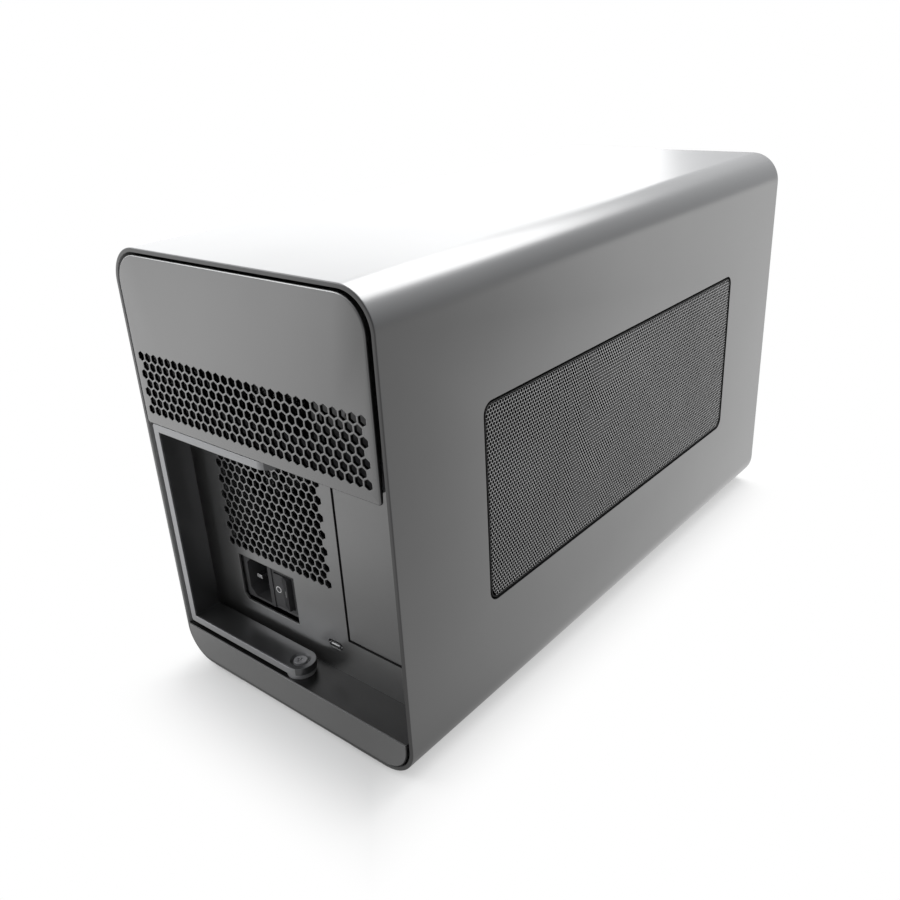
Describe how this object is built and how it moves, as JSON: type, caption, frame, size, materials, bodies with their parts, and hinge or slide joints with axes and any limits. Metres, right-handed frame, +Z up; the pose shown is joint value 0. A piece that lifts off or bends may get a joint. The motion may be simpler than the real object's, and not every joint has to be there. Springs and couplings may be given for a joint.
{
  "type": "external graphics card enclosure",
  "caption": "Dark grey box for an external graphics card: rounded sleeve, mesh side windows, slide-out tray with rear vent, mains inlet, switch and pull handle.",
  "frame": {"origin": "on the desk under the middle of the box, level with the bottom of the foot strips", "axes": "+Z up, -Y towards the rear side with the sockets, +X towards the right side seen from the rear"},
  "size_m": [0.168, 0.376, 0.2315],
  "materials": {
    "sleeve_grey": "satin",
    "panel_grey": "satin",
    "handle_grey": "satin",
    "mesh_dark": "satin",
    "foot_rubber": "matte",
    "rail_nylon": "matte",
    "tray_steel": "satin",
    "supply_black": "satin",
    "moulded_black": "matte",
    "rotor_black": "satin",
    "rocker_black": "gloss",
    "pin_metal": "polished",
    "screw_steel": "satin",
    "board_black": "satin",
    "sink_metal": "satin",
    "part_dark": "satin"
  },
  "bodies": {
    "case": {"outer_sleeve": "sleeve_grey", "front_panel": "panel_grey", "right_mesh": "mesh_dark", "left_mesh": "mesh_dark", "foot_strips": "foot_rubber", "glide_rails": "rail_nylon"},
    "tray": {"rear_upper_panel": "panel_grey", "rear_lower_panel": "panel_grey", "back_panel": "panel_grey", "slot_cover": "panel_grey", "tray_pan": "tray_steel", "upper_ledge": "tray_steel", "top_stay": "tray_steel", "psu_shelf": "tray_steel", "fan_bracket": "tray_steel", "psu_housing": "supply_black", "psu_fan_guard": "supply_black", "inlet_socket": "moulded_black", "switch_bezel": "moulded_black", "card_slot": "moulded_black", "board_power_socket": "moulded_black", "fan_frame": "moulded_black", "inlet_pins": "pin_metal", "data_port": "pin_metal", "handle_pivot_screws": "screw_steel", "handle_spacers": "screw_steel", "slot_cover_screws": "screw_steel", "fan_screws": "screw_steel", "board_screws": "screw_steel", "board_standoffs": "screw_steel", "main_board": "board_black", "psu_board": "board_black", "board_heat_sink": "sink_metal", "psu_heat_sinks": "sink_metal", "board_capacitors": "part_dark", "psu_transformer": "part_dark"},
    "handle": {"handle": "handle_grey"},
    "rocker": {"rocker": "rocker_black"},
    "fan_rotor": {"fan_rotor": "rotor_black"},
    "psu_fan_rotor": {"psu_fan_rotor": "rotor_black"}
  },
  "joints": [
    {"name": "tray_slide", "type": "slide", "parent": "case", "child": "tray", "axis": [0, -1, 0], "range_m": [0, 0.32]},
    {"name": "handle_swing", "type": "hinge", "parent": "tray", "child": "handle", "pos_m": [0.002, -0.179, 0.0843], "axis": [0, 0, 1], "range_deg": [0, 90]},
    {"name": "switch_rock", "type": "hinge", "parent": "tray", "child": "rocker", "pos_m": [-0.0206, -0.163, 0.054], "axis": [0, 0, 1], "range_deg": [0, 16]},
    {"name": "fan_spin", "type": "hinge", "parent": "tray", "child": "fan_rotor", "pos_m": [-0.064, 0.06785, 0.1165], "axis": [1, 0, 0], "continuous": true},
    {"name": "psu_fan_spin", "type": "hinge", "parent": "tray", "child": "psu_fan_rotor", "pos_m": [-0.052, -0.0943, 0.1148], "axis": [1, 0, 0], "continuous": true}
  ]
}
